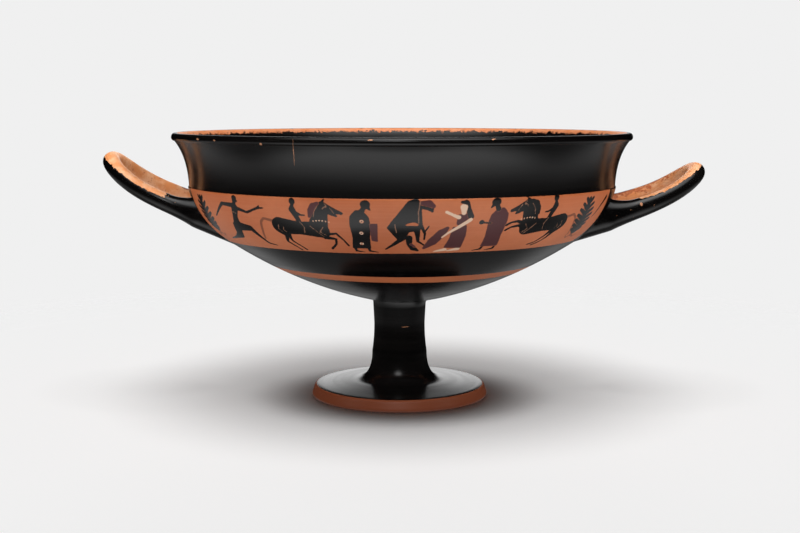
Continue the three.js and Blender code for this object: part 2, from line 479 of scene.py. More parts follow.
# %% Brush strokes
def limb(u, v, *joints):
    """Depth inside a tapering stroke through joints (u, v, half width): the half width at the nearest
    place on each piece, less the distance to it; the deepest piece counts."""
    depth = np.full(u.shape, -np.inf)
    for (u0, v0, w0), (u1, v1, w1) in zip(joints[:-1], joints[1:]):
        du, dv = u1 - u0, v1 - v0
        t = np.clip(((u - u0) * du + (v - v0) * dv) / (du * du + dv * dv), 0, 1)
        depth = np.maximum(depth, w0 + (w1 - w0) * t - np.hypot(u - u0 - t * du, v - v0 - t * dv))
    return depth


def oval(u, v, centre, half_width, half_height, tilt=0):
    """Depth inside an ellipse: (1 - distance in units of its radii) times its smaller radius."""
    c, s = math.cos(math.radians(tilt)), math.sin(math.radians(tilt))
    du, dv = u - centre[0], v - centre[1]
    across, up = du * c + dv * s, dv * c - du * s
    return (1 - np.hypot(across / half_width, up / half_height)) * min(half_width, half_height)


def cloth(u, v, *corners, rounding=0.3):
    """Depth inside an outline with straight sides: the distance to the nearest side, positive where
    an odd number of sides lies to the right, with corners rounded by a little."""
    distance = np.full(u.shape, np.inf)
    inside = np.zeros(u.shape, bool)
    for (u0, v0), (u1, v1) in zip(corners, corners[1:] + corners[:1]):
        du, dv = u1 - u0, v1 - v0
        t = np.clip(((u - u0) * du + (v - v0) * dv) / (du * du + dv * dv), 0, 1)
        distance = np.minimum(distance, np.hypot(u - u0 - t * du, v - v0 - t * dv))
        crossing = (v0 > v) != (v1 > v)
        level = np.where(crossing, v, v0)
        inside ^= crossing & (u < u0 + du * (level - v0) / (dv if dv else 1))
    return np.where(inside, distance, -distance) + rounding


def limbs(u, v, colour, *strokes):
    """Several limbs of one colour, one after another."""
    for joints in strokes:
        yield colour, limb(u, v, *joints)


# %% Figures: runners, horses and riders
# Each gives its strokes in the order they are painted, for a figure that faces right, feet on 2 to 5.
def runner(u, v):
    """A youth who runs with bent arms and one leg flung back."""
    yield from limbs(
        u, v, "slip",
        [(2.0, 28.9, 1.5), (1.4, 26.6, 0.9), (0.8, 24.6, 2.1), (-0.9, 20.3, 1.6), (-2.2, 15.6, 2.4)],
        [(2.4, 28.0, 1.1), (3.4, 27.6, 0.4)],
        [(-0.4, 25.6, 1.1), (-7.6, 26.0, 0.85), (-12.0, 22.8, 0.6), (-17.0, 19.2, 0.35)],
        [(2.0, 24.4, 1.0), (8.0, 22.7, 0.6), (14.5, 25.1, 0.55), (18.0, 25.4, 0.3)],
        [(14.2, 25.0, 0.5), (16.0, 26.3, 0.25)],
        [(-1.6, 14.9, 2.6), (5.8, 14.3, 1.6), (9.2, 8.6, 0.85), (11.0, 5.2, 0.6), (15.2, 4.0, 0.4)],
        [(-3.4, 14.6, 2.6), (-6.0, 9.2, 2.1), (-11.5, 7.2, 0.9), (-18.6, 5.4, 0.35)],
    )
    yield "cut", limb(u, v, (-1.6, 22.4, 0.25), (0.6, 21.8, 0.25))


def horse(u, v, front_legs, hind_legs, mane="purple"):
    """A galloping horse with a long back and an arched neck, its mane and harness marked."""
    yield "thin", limb(
        u, v, (-12.0, 19.4, 0.8), (-16.5, 20.4, 0.6), (-18.6, 18.6, 0.6), (-20.4, 13.0, 0.6),
        (-21.8, 8.6, 0.4),
    )
    yield from limbs(
        u, v, "slip", *front_legs, *hind_legs,
        [(-8.6, 17.0, 4.4), (0.5, 16.2, 3.5), (9.4, 15.7, 4.4)],
        [(-8.6, 15.0, 3.4), (-7.2, 11.8, 1.4)],
        [(9.6, 18.4, 4.1), (10.9, 23.4, 3.5), (12.2, 27.0, 2.3)],
        [(12.6, 27.2, 2.0), (16.4, 25.5, 1.3), (20.0, 24.2, 0.7)],
        [(13.6, 25.4, 1.4), (17.8, 22.9, 0.5)],
        [(12.2, 28.6, 0.7), (13.6, 30.4, 0.25)],
    )
    yield mane, limb(u, v, (10.6, 28.5, 0.7), (8.5, 27.2, 1.4), (7.3, 25.0, 1.4), (6.4, 22.4, 0.7))
    yield "cut", limb(u, v, (10.6, 27.4, 0.2), (8.9, 25.0, 0.2), (8.0, 22.0, 0.2))
    for bead in range(6):
        yield "white", oval(u, v, (7.6 + 1.35 * bead, 20.6 - 0.2 * abs(bead - 2)), 0.36, 0.36)
    yield from limbs(
        u, v, "cut",
        [(5.6, 17.6, 0.22), (8.2, 14.6, 0.22), (10.6, 12.0, 0.22)],
        [(11.4, 17.4, 0.2), (9.4, 14.8, 0.2), (11.8, 12.8, 0.2)],
        [(-9.6, 17.6, 0.2), (-10.4, 15.4, 0.2), (-9.0, 13.8, 0.2)],
        [(-7.4, 16.6, 0.2), (-8.0, 15.0, 0.2), (-6.8, 13.6, 0.2)],
        [(12.4, 26.0, 0.2), (14.2, 27.8, 0.2), (13.4, 28.4, 0.2)],
        [(15.4, 26.8, 0.2), (17.0, 24.2, 0.2)],
    )
    yield "cut", oval(u, v, (14.0, 26.9), 0.5, 0.4)


def rider(u, v, seat=-0.6, reach=4.8):
    """A small rider who leans back, reins in hand."""
    yield "slip", oval(u, v, (seat + 0.2, 29.0), 1.4, 1.5)
    yield "slip", limb(
        u, v, (seat, 27.4, 0.7), (seat - 0.3, 25.4, 1.5), (seat + 1.0, 22.4, 1.2),
        (seat + 1.8, 19.8, 1.1),
    )
    yield "slip", limb(u, v, (seat + 0.4, 24.8, 0.5), (seat + 3.0, 23.0, 0.45), (seat + reach, 22.8, 0.4))
    yield "cut", limb(u, v, (seat + 1.8, 20.0, 0.22), (seat + 3.4, 17.0, 0.22), (seat + 2.6, 13.6, 0.22))


# %% Figures: men and a woman
def cloaked_man(u, v, colour="slip", lean=0):
    """A man wrapped in a long cloak. Lean moves his shoulders forwards over his feet."""
    bow = u - lean * np.clip((v - 5) / 20, 0, 1.3)
    for foot in (-4.0, 2.2):
        yield "slip", limb(u, v, (foot, 5.0, 0.7), (foot + 0.2, 2.9, 0.6), (foot + 3.8, 2.0, 0.35))
    yield colour, cloth(
        bow, v, (-4.6, 5.3), (-3.4, 12.0), (-3.7, 19.5), (-3.3, 22.8), (-1.2, 25.3), (1.0, 25.4),
        (3.4, 22.6), (3.9, 18.6), (3.0, 11.5), (2.8, 5.3), rounding=0.5,
    )
    yield "slip", limb(bow, v, (1.2, 25.2, 1.1), (2.2, 27.0, 0.9))
    yield "slip", oval(bow, v, (2.7, 28.3), 2.0, 1.9)
    yield "slip", limb(bow, v, (3.6, 27.2, 0.9), (4.6, 25.9, 0.3))


def cloak_trim(u, v):
    """The folds over an arm, and three rosettes down the front."""
    yield "purple", cloth(u, v, (4.2, 19.2), (6.9, 19.4), (6.4, 9.8), (4.3, 10.4))
    for row, height in enumerate((20.6, 14.6, 8.2)):
        yield "white", oval(u, v, (0.9 - 0.7 * row, height), 0.85, 0.8)
        yield "purple", oval(u, v, (0.9 - 0.7 * row, height), 0.4, 0.4)


def stooping_man(u, v):
    """A broad man who bends double over something at his feet."""
    yield "slip", cloth(
        u, v, (-7.6, 17.6), (-5.0, 21.6), (-1.6, 26.4), (0.6, 29.4), (3.2, 30.4), (5.0, 28.8),
        (4.9, 22.0), (4.6, 16.4), (0.4, 15.8), (-1.5, 11.0), (-3.8, 11.6), rounding=0.6,
    )
    yield "clay", oval(u, v, (1.9, 18.9), 2.6, 1.2, 8)
    yield from limbs(
        u, v, "slip",
        [(-1.4, 12.2, 1.3), (-6.2, 7.4, 0.8), (-9.4, 4.4, 0.4)],
        [(-1.6, 17.2, 1.5), (3.9, 17.2, 1.4), (4.6, 10.0, 0.65), (8.2, 6.6, 0.35)],
        [(4.6, 25.0, 1.0), (5.4, 19.0, 0.75), (7.2, 14.6, 0.55), (7.2, 11.0, 0.4)],
        [(6.9, 15.0, 0.5), (8.7, 18.4, 0.3)],
        [(5.0, 28.4, 1.6), (8.8, 27.0, 1.5), (9.6, 25.4, 0.6)],
    )
    yield "purple", limb(u, v, (5.4, 29.0, 0.9), (8.2, 28.8, 1.5), (10.0, 27.6, 0.9))
    yield "slip", limb(u, v, (0.8, 12.0, 1.5), (1.0, 8.2, 1.2), (2.8, 5.0, 1.5), (4.8, 3.4, 0.7))
    yield "purple", limb(u, v, (1.8, 7.9, 0.7), (3.4, 6.4, 0.5))
    yield "cut", limb(u, v, (4.9, 29.6, 0.22), (4.2, 25.0, 0.22), (4.5, 20.0, 0.22))
    yield "cut", limb(u, v, (-5.0, 19.4, 0.22), (-4.4, 15.0, 0.22))


def woman(u, v):
    """A woman in a purple dress, her skin white, one arm out and one reaching down."""
    for foot, height in ((4.4, 3.9), (-1.6, 4.2)):
        yield "white", limb(u, v, (foot, height, 1.1), (foot + 4.6, height - 1.3, 0.4))
    yield "purple", cloth(
        u, v, (4.6, 5.7), (3.2, 11.5), (2.6, 17.4), (-2.4, 18.0), (-2.8, 13.0), (-2.3, 5.4), rounding=0.5
    )
    yield "purple", cloth(u, v, (1.4, 23.4), (-2.4, 24.0), (-3.4, 20.6), (-1.6, 18.0), (1.4, 19.2))
    yield "white", limb(u, v, (6.2, 25.0, 0.6), (3.6, 23.6, 0.6), (1.0, 22.4, 0.85))
    yield "slip", limb(u, v, (-1.4, 28.8, 1.4), (-2.6, 26.0, 1.1), (-3.9, 22.6, 1.3))
    yield "white", limb(u, v, (-0.6, 27.0, 1.5), (-0.8, 24.4, 0.9))
    yield "slip", limb(u, v, (0.4, 29.2, 0.6), (-1.6, 29.0, 1.0))
    yield "white", limb(u, v, (-4.0, 21.2, 0.8), (0.4, 17.8, 0.75), (4.6, 14.6, 0.5), (6.8, 12.2, 0.4))


# %% Figures: plants and small things
def bolster(u, v):
    """A long purple cushion that leans between two figures."""
    yield "purple", limb(u, v, (-4.6, -5.4, 0.9), (-1.4, -1.2, 2.3), (2.0, 4.0, 2.0), (4.0, 6.4, 0.9))


def held_cup(u, v):
    """What the leaning man holds out: an arm and a small round thing."""
    yield "slip", limb(u, v, (0.0, 0.0, 0.45), (3.0, 0.4, 0.45))
    yield "slip", oval(u, v, (4.2, 0.6), 1.2, 1.1)


def plume(u, v, height=20, leaves=7):
    """A feathery plant: a stem with pairs of leaves that slant up, widest below the middle."""
    yield "slip", limb(u, v, (0, -height * 0.55, 0.5), (0, height * 0.45, 0.9))
    for leaf in range(leaves):
        share = leaf / (leaves - 1)
        base = height * (share * 0.78 - 0.46)
        reach = 1.6 + 4.4 * math.sin(math.pi * (share * 0.72 + 0.2))
        for side in (-1, 1):
            yield "slip", limb(u, v, (0, base, 1.2), (side * reach, base + 2.7, 0.8))
    for side in (-1, 1):
        yield "thin", limb(
            u, v, (0, -height * 0.5, 0.5), (side * 3.0, -height * 0.62, 0.4),
            (side * 5.2, -height * 0.52, 0.3),
        )


def tendril(u, v):
    """A thin straight shoot beside a handle."""
    yield "slip", limb(u, v, (-7.5, -5.0, 0.3), (-3.0, 0.6, 0.6), (1.2, 4.6, 0.9))


GALLOP_FRONT = [
    [(11.0, 12.6, 1.2), (13.4, 13.6, 0.7), (16.4, 14.0, 0.55), (19.0, 10.0, 0.45), (20.4, 6.6, 0.55)],
    [(11.0, 11.6, 1.1), (15.6, 10.8, 0.6), (15.0, 7.6, 0.55), (12.0, 4.0, 0.65)],
]
GALLOP_HIND = [
    [(-7.6, 12.0, 1.2), (-9.2, 7.8, 0.6), (-6.6, 4.6, 0.45), (-4.8, 1.8, 0.55)],
    [(-6.4, 12.4, 1.1), (-6.4, 8.6, 0.55), (-3.6, 5.0, 0.45), (-1.8, 2.2, 0.55)],
]
LEAP_FRONT = [
    [(9.6, 15.0, 1.6), (14.6, 16.8, 0.7), (18.4, 16.0, 0.5), (20.4, 14.6, 0.6)],
    [(11.0, 17.4, 1.3), (15.8, 19.0, 0.65), (18.6, 18.6, 0.5), (20.9, 17.2, 0.6)],
]
LEAP_HIND = [
    [(-6.4, 13.4, 1.3), (-3.4, 9.4, 0.6), (-0.2, 5.6, 0.45), (3.2, 4.2, 0.55)],
    [(-7.8, 12.4, 1.2), (-5.6, 8.2, 0.6), (-2.8, 5.2, 0.45), (0.2, 3.4, 0.55)],
]

# %% [markdown]
# The strokes go on in order, as a painter's would: each colour covers what lies under it. The front
# has its company of figures, and the back has a plainer one of the same kind.

# %% The company of figures
FRONT = [
    (plume, -105, 19, 1, {}),
    (runner, -77, 0, 1, {}),
    (horse, -44, 0, 1, dict(front_legs=GALLOP_FRONT, hind_legs=GALLOP_HIND)),
    (rider, -44, 0, 1, {}),
    (cloaked_man, -17, 0, 1, {}),
    (cloak_trim, -17, 0, 1, {}),
    (stooping_man, 2, 0, 1, {}),
    (bolster, 14.2, 10.8, 1, {}),
    (woman, 23.4, 0, -1, {}),
    (cloaked_man, 38.6, 0.6, -1, dict(colour="purple", lean=-1.2)),
    (held_cup, 36.5, 19.2, -1, {}),
    (horse, 64.6, 0.6, -1, dict(front_legs=LEAP_FRONT, hind_legs=LEAP_HIND, mane="slip")),
    (rider, 64.6, 0.6, -1, dict(seat=-2.0)),
    (plume, 90.5, 19, 1, {}),
    (tendril, 107, 23, 1, {}),
]
BACK_CENTRE = math.pi * STRIP_RADIUS
BACK = [
    (plume, -92, 18, 1, {}),
    (cloaked_man, -70, 0, 1, {}),
    (horse, -40, 0, 1, dict(front_legs=GALLOP_FRONT, hind_legs=GALLOP_HIND)),
    (cloaked_man, -10, 0, -1, dict(colour="purple")),
    (cloaked_man, 10, 0, 1, {}),
    (horse, 40, 0, -1, dict(front_legs=GALLOP_FRONT, hind_legs=GALLOP_HIND)),
    (cloaked_man, 70, 0, -1, dict(colour="purple")),
    (plume, 92, 18, 1, {}),
]
COLOURS = ("slip", "thin", "purple", "white", "cut")
NOWHERE = -9.0
FIGURE_REACH = 26
STRIP_LOW, STRIP_HIGH = -1, 32
fields = {colour: np.full(count, NOWHERE) for colour in COLOURS}


def paint(company, centre):
    """Lays every figure's strokes on the points near it. A stroke's colour takes the deeper of old and
    new, and every other colour there is cut back to outside the stroke."""
    for figure, place, lift, facing, pose in company:
        u = (strip_u - centre - place + BACK_CENTRE) % (2 * BACK_CENTRE) - BACK_CENTRE
        near = (np.abs(u) < FIGURE_REACH) & (strip_v > STRIP_LOW) & (strip_v < STRIP_HIGH) & ~on_handle
        for colour, depth in figure(u[near] * facing, strip_v[near] - lift, **pose):
            for name, field in fields.items():
                old = field[near]
                covers = name == colour
                over_slip = colour == "cut" and name != "cut"
                if not over_slip:
                    field[near] = np.maximum(old, depth) if covers else np.minimum(old, -depth)


paint(FRONT, 0)
paint(BACK, BACK_CENTRE)
print("figures painted:", len(FRONT) + len(BACK))

# %% [markdown]
# ## The black slip
# The slip covers everything but the picture band, a stripe on the belly, the edge and the underside
# of the foot, the panel between each handle's roots and the inner side of the handles' arms. Each of
# those is a depth as well, and the slip ends where the nearest of them begins.

# %% Reserved clay
PICTURE_TOP = 30.75
# The line under the figures: its height, its slope, and how the hand strayed from it.
GROUND_LIFT, GROUND_SLOPE, SLOPE_REACH = 0.9, 0.006, 110
GROUND_WAVE, GROUND_WAVES = 0.15, 7
STRIPE = (63.5, 66.9)
STRIPE_WAVE, STRIPE_WAVES, STRIPE_TURN = 0.2, 3, 1
PATCH_BEYOND = 60
PANEL_HALF = 14
ROOT_PATCH = {-1: 31, 1: 39}
FOOT_OVERLAP = 0.15


def between(value, low, high):
    """Depth inside an interval: the distance to its nearer end."""
    return np.minimum(value - low, high - value)


stripe_runs = sorted(run_at(belly[np.argmin(np.abs(belly[:, 1] - height))]) for height in STRIPE)
foot_run = run_at(FOOT_TOP)
stripe_wave = STRIPE_WAVE * np.sin(azimuth * STRIPE_WAVES + STRIPE_TURN)
ground = GROUND_LIFT + GROUND_SLOPE * np.clip(strip_u, -SLOPE_REACH, SLOPE_REACH)
ground = ground + GROUND_WAVE * np.sin(azimuth * GROUND_WAVES)
band = between(strip_v, ground, PICTURE_TOP)
patch = np.full(count, NOWHERE)
for side, reach in ROOT_PATCH.items():
    here = np.where(x * side > PATCH_BEYOND, between(np.abs(y), PANEL_HALF, reach), NOWHERE)
    patch = np.maximum(patch, here)
band = np.minimum(band, -patch)
stripe = between(run + stripe_wave, *stripe_runs)
foot = foot_run + FOOT_OVERLAP - run
reserved = np.maximum(np.maximum(band, stripe), foot)
slip = np.maximum(-reserved, np.where(band > 0, fields["slip"], NOWHERE))
print("points on bare clay:", int((slip < 0).sum()), "of", count)


# %% The handles' own paint
CLAY_LINE = 1.2
DIP_BELOW, DIP_REACH = 0.4, 24


def handle_paint(handle, here):
    """For points on one handle: how far each lies outside the roll's centre line seen along the loop's
    own plane, and how far above it, both in millimetres."""
    centres, across, over, from_root = roll_frames(handle)
    points = np.column_stack([x, y, z])[here]
    nearest = np.argmin(((points[:, None] - centres[None]) ** 2).sum(2), axis=1)
    off = points - centres[nearest]
    outside = (off * across[nearest]).sum(1) * handle["side"]
    above = (off * over[nearest]).sum(1)
    return outside, above, from_root[nearest]


outside = np.zeros(count)
above = np.zeros(count)
from_root = np.full(count, -1.0)
for handle in HANDLES:
    here = on_handle & (x * handle["side"] > 0)
    outside[here], above[here], from_root[here] = handle_paint(handle, here)
print("outside of the loops:", np.round([outside[on_handle].min(), outside[on_handle].max()], 1))
dipped = np.minimum(-above - DIP_BELOW, DIP_REACH - from_root)
slip[on_handle] = np.maximum(outside + CLAY_LINE, dipped)[on_handle]

# %% [markdown]
# ## Wear
# Hands and other cups rub a cup: under the rim inside, on the rim's crest and over the top and the
# inner side of the handles. There the slip came off in flakes, and the clay under it was polished
# paler by hands. Painting each flake would take long and look the same on every cup. Instead each
# point gets a chance of wear, which noise in the shader turns into ragged flakes, and a grip, which
# says how far worn clay is polished.

# %% Chance of wear
# Chances run from 0 to 1, and lengths are in millimetres. A pair says where an effect starts and where
# it is full. Towards the inside of a loop, outside is negative.
RIM_CHANCE, CREST_CHANCE = 0.8, 0.30
RIM_STARTS, RIM_ENDS = (0.2, 0.9), (3.6, 5.8)
CREST_SHIFT, CREST_REACH = 1.2, 2.2
FAR_TOP_CHANCE = {"left": 0.74, "right": 0.50}
TOP_FROM = {"left": 1.7, "right": 1.0}
TOP_FADE = 1.5
TOP_STARTS = (14, 20)
RIGHT_TOP_STOPS = (-3.4, -1.4)
INNER_CHANCE, INNER_STARTS = 0.80, (1.0, 2.4)
LESS_INNER, LESS_ON_CREST, LESS_AT_ROOT = 0.06, 0.24, 0.30
CREST_OF_ARM, END_OF_ROOT = (0.3, 2.8), (4, 16)
KNOCKED, KNOCK_CHANCE, PLAIN_CHANCE = (3, 34), 0.29, 0.16
RIM_GRIP = 0.35

inside_rim = smooth_step(run - rim_run, *RIM_STARTS) * (1 - smooth_step(run - rim_run, *RIM_ENDS))
crest = np.clip(1 - np.abs(run - rim_run + CREST_SHIFT) / CREST_REACH, 0, 1)
wear = np.maximum(RIM_CHANCE * inside_rim, CREST_CHANCE * crest)


def by_side(sizes):
    """The left loop's value left of the axis, and the right loop's right of it."""
    return np.where(x > 0, sizes["right"], sizes["left"])


far_arm = y > 0
# The worn top starts higher up the roll on the left loop, and on the right it stops at the tip.
rubbed_top = smooth_step(above - by_side(TOP_FROM), 0, TOP_FADE) * smooth_step(from_root, *TOP_STARTS)
rubbed_top *= np.where(far_arm, by_side(FAR_TOP_CHANCE), 1.0)
rubbed_top *= np.where(x > 0, smooth_step(-outside, *RIGHT_TOP_STOPS), 1.0)
# The right loop's far arm is less polished: its clay is dull in patches, along the top and at the root.
patchy = LESS_ON_CREST * smooth_step(above, *CREST_OF_ARM)
patchy = patchy + LESS_AT_ROOT * (1 - smooth_step(from_root, *END_OF_ROOT))
less = np.where((x > 0) & far_arm, patchy, LESS_INNER)
inner_face = smooth_step(-outside, *INNER_STARTS) * (INNER_CHANCE - less)
knocks = np.where(between(from_root, *KNOCKED) > 0, KNOCK_CHANCE, PLAIN_CHANCE)
knocks = knocks * (from_root > KNOCKED[0])
wear = np.where(on_handle, np.maximum(np.maximum(rubbed_top, inner_face), knocks), wear)
grip = np.where(on_handle, 1.0, RIM_GRIP * inside_rim)
print("points that are likely to be worn:", int((wear > 0.5).sum()))


# %% Attributes on the mesh
def write_attribute(name, values):
    """Stores one number for every point of the mesh, for the shader to read."""
    layer = body.data.attributes.new(name, "FLOAT", "POINT")
    layer.data.foreach_set("value", values.astype(np.float32))


stored = dict(fields)
stored.update(slip=np.clip(slip, NOWHERE, -NOWHERE), wear=wear, run=run, grip=grip)
for name, values in stored.items():
    write_attribute(name, values)
print("attributes:", ", ".join(stored))

# %% [markdown]
# ## Fired clay and slip
# All of the cup is one material. Its colours come from the painted distances, and its life from small
# differences: the clay is mottled, the slip shows the rings of the brush as the wheel turned, and its
# gloss changes along them. Round the foot the clay is painted darker, as painted shade for the bowl's
# shadow.
# A few chips, scratches and a fine crack are nicks: small ragged oval bodies that show pale clay wherever
# they cut the surface.

# %% Colours
PALETTE = {
    "earth": ((0.52, 0.132, 0.043, 1), (0.60, 0.175, 0.068, 1)),
    "speck": (0.45, 0.13, 0.05, 1),
    "ring": (0.64, 0.22, 0.09, 1),
    "slip": ((0.0018, 0.0016, 0.0017, 1), (0.0045, 0.0038, 0.0036, 1)),
    "polished clay": ((0.84, 0.32, 0.115, 1), (0.95, 0.50, 0.27, 1)),
    # painted shade: the dark clay round the foot stands for the shadow of the bowl over it
    "painted_foot_shade": (0.12, 0.030, 0.013, 1),
    "thin slip": (0.12, 0.035, 0.018, 1),
    "purple": (0.085, 0.022, 0.024, 1),
    "white": (0.80, 0.56, 0.40, 1),
    "cut": (0.42, 0.20, 0.12, 1),
    "nick": (0.60, 0.27, 0.14, 1),
}
print("colours:", ", ".join(PALETTE))

# %% Shader helpers
NUMBER, VECTOR, COLOUR = "NodeSocketFloat", "NodeSocketVector", "NodeSocketColor"


def new_group(name, inputs, outputs):
    """An empty shader node group with named sockets of these kinds."""
    group = bpy.data.node_groups.new(name, "ShaderNodeTree")
    for direction, sockets in (("INPUT", inputs), ("OUTPUT", outputs)):
        for label, kind in sockets.items():
            group.interface.new_socket(label, in_out=direction, socket_type=kind)
    return group, group.nodes.new("NodeGroupInput"), group.nodes.new("NodeGroupOutput")


def place(tree, kind, inputs=(), **settings):
    """A node with its settings; inputs are pairs of a socket and a value or another node's output."""
    made = tree.nodes.new("ShaderNode" + kind)
    for key, value in settings.items():
        setattr(made, key, value)
    for socket, value in inputs:
        if isinstance(value, bpy.types.NodeSocket):
            tree.links.new(value, made.inputs[socket])
        else:
            made.inputs[socket].default_value = value
    return made


def math_node(tree, operation, *values):
    """The result of one Math node."""
    return place(tree, "Math", enumerate(values), operation=operation).outputs[0]


def edge(tree, value, low, high):
    """0 to 1 as a value rises from low to high, with soft ends."""
    pairs = [("Value", value), ("From Min", low), ("From Max", high)]
    return place(tree, "MapRange", pairs, interpolation_type="SMOOTHSTEP").outputs["Result"]


def mix(tree, share, under, over):
    """One colour over another."""
    return place(tree, "Mix", [(0, share), (6, under), (7, over)], data_type="RGBA").outputs[2]


def mix_value(tree, share, under, over):
    """One number over another."""
    return place(tree, "Mix", [(0, share), (2, under), (3, over)], data_type="FLOAT").outputs[0]


def combine(tree, operation, first, second):
    """The result of one Vector Math node."""
    return place(tree, "VectorMath", [(0, first), (1, second)], operation=operation).outputs


def noise(tree, vector, scale, detail=3.0, roughness=0.5):
    """A noise value around 0.5."""
    pairs = [("Vector", vector), ("Scale", scale), ("Detail", detail), ("Roughness", roughness)]
    return place(tree, "TexNoise", pairs).outputs["Fac"]


# %% Group: rings left by the brush on the wheel
# How quickly each kind of ring changes: round the axis per metre, and along the outline per millimetre.
RING_PACES = {"Broad": (9, 0.16), "Fine": (22, 1.5)}
RING_NOISE = (1.0, 4.0, 0.6)


def make_brush_rings():
    """Noise stretched along the wheel's rings: slow round the axis, quick along the outline."""
    group, entry, leave = new_group(
        "brush rings", {"Place": VECTOR, "Run": NUMBER}, {"Broad": NUMBER, "Fine": NUMBER}
    )
    axes = place(group, "SeparateXYZ", [("Vector", entry.outputs["Place"])])
    for label, (around, along) in RING_PACES.items():
        stretched = place(group, "CombineXYZ", [
            ("X", math_node(group, "MULTIPLY", axes.outputs["X"], around)),
            ("Y", math_node(group, "MULTIPLY", axes.outputs["Y"], around)),
            ("Z", math_node(group, "MULTIPLY", entry.outputs["Run"], along)),
        ]).outputs[0]
        group.links.new(noise(group, stretched, *RING_NOISE), leave.inputs[label])
    return group


# %% Group: flakes
FLAKE_NOISE = (420, 6.0, 0.78)
SURE_OF_SLIP, CHANCE_GAIN = 0.86, 0.62
FLAKE_EDGE = 0.012


def make_flakes():
    """1 where the slip has come off: where a rough noise passes a limit that sinks with the chance."""
    group, entry, leave = new_group("flakes", {"Place": VECTOR, "Chance": NUMBER}, {"Bare": NUMBER})
    rough = noise(group, entry.outputs["Place"], *FLAKE_NOISE)
    sunk = math_node(group, "MULTIPLY", entry.outputs["Chance"], CHANCE_GAIN)
    over = math_node(group, "SUBTRACT", rough, math_node(group, "SUBTRACT", SURE_OF_SLIP, sunk))
    bare = edge(group, over, -FLAKE_EDGE, FLAKE_EDGE)
    group.links.new(bare, leave.inputs["Bare"])
    return group


# %% Group: a nick
SHAKE_SCALE = 900.0
NICK_EDGE = (1.1, 0.8)


def make_nick():
    """1 inside a small oval body with ragged sides, set across the surface: the distance from its
    centre, in units of its half sizes, is less than about 1."""
    inputs = {"Place": VECTOR, "Centre": VECTOR, "Half": VECTOR, "Raggedness": NUMBER}
    group, entry, leave = new_group("nick", inputs, {"Share": NUMBER})
    shake = place(group, "TexNoise", [("Vector", entry.outputs["Place"]), ("Scale", SHAKE_SCALE)])
    centred = combine(group, "SUBTRACT", shake.outputs["Color"], (0.5, 0.5, 0.5))[0]
    sizes = [(0, centred), ("Scale", entry.outputs["Raggedness"])]
    moved = place(group, "VectorMath", sizes, operation="SCALE").outputs[0]
    ragged = combine(group, "ADD", entry.outputs["Place"], moved)[0]
    off = combine(group, "SUBTRACT", ragged, entry.outputs["Centre"])[0]
    shares = combine(group, "DIVIDE", off, entry.outputs["Half"])[0]
    far = place(group, "VectorMath", [(0, shares)], operation="LENGTH").outputs["Value"]
    group.links.new(edge(group, far, *NICK_EDGE), leave.inputs["Share"])
    return group


# %% Group: mottled clay
# Two noises: how many to the metre, detail and roughness, and the values between which they act.
CLOUDS, CLOUDS_BETWEEN = (26, 4.0, 0.6), (0.35, 0.65)
SPECKS, SPECKS_BETWEEN = (420, 3.0, 0.6), (0.35, 0.75)
RINGS_BETWEEN = (0.3, 0.7)
SPECK_SHARE, RING_SHARE = 0.22, 0.25


def make_clay():
    """The colour of the bare clay: three earths mixed by two noises, and the rings of the wheel."""
    group, entry, leave = new_group(
        "mottled clay", {"Place": VECTOR, "Rings": NUMBER}, {"Color": COLOUR}
    )
    wide = edge(group, noise(group, entry.outputs["Place"], *CLOUDS), *CLOUDS_BETWEEN)
    small = edge(group, noise(group, entry.outputs["Place"], *SPECKS), *SPECKS_BETWEEN)
    earth = mix(group, wide, *PALETTE["earth"])
    earth = mix(group, math_node(group, "MULTIPLY", small, SPECK_SHARE), earth, PALETTE["speck"])
    ringed = edge(group, entry.outputs["Rings"], *RINGS_BETWEEN)
    earth = mix(group, math_node(group, "MULTIPLY", ringed, RING_SHARE), earth, PALETTE["ring"])
    group.links.new(earth, leave.inputs["Color"])
    return group


# %% Nicks, in millimetres
NICKS = [
    # centre, half size, raggedness
    ((1.6, -13, 35.4), (1.9, 4, 0.16), 0.4),
    ((9.6, -13, 21.2), (1.7, 4, 0.16), 0.5),
    ((6.3, -20, 12.5), (0.4, 4, 0.3), 0.4),
    ((-44.6, -98, 122.5), (0.09, 9, 6.0), 0.5),
    ((-88.6, -62, 127.2), (1.0, 5, 0.5), 0.8),
    ((-80.2, -72, 127.0), (0.7, 5, 0.4), 0.8),
    ((-58.5, -93, 125.9), (0.5, 5, 0.4), 0.8),
    ((-13.0, -110, 128.2), (1.1, 4, 0.3), 0.6),
    ((37.0, -104, 128.2), (0.8, 4, 0.3), 0.6),
    ((111.8, -26, 96.0), (0.6, 4, 0.9), 0.4),
    ((136.5, -20, 112.4), (0.4, 4, 0.3), 0.4),
]
print("nicks:", len(NICKS))


# %% The cup's material
EDGE_NOISE, STREAK_NOISE, GRAIN_NOISE = (700, 2.0), (150, 5.0, 0.7), (2200, 3.0, 0.6)
EDGE_SHAKE, EDGE_SOFTNESS, CUT_SOFTNESS = 0.35, 0.16, 0.1
# The third share on the next line and the pair under it are for the painted shade round the foot: the
# bowl's shadow painted into the clay.
THIN_SHARE, CUT_SHARE, FOOT_SHADE_SHARE = 0.72, 0.6, 0.92
FOOT_SHADE_FROM, FOOT_SHADE_FULL = 0.009, 0.005
DENSE_BETWEEN, STREAKS_BETWEEN = (0.3, 0.72), (0.38, 0.62)
CLAY_ROUGHNESS, SLIP_ROUGHNESS = 0.42, (0.16, 0.26)
SLIP_RELIEF, RING_RELIEF, GRAIN_RELIEF = 0.6, 0.35, 0.12
RELIEF_DEPTH = 0.00006


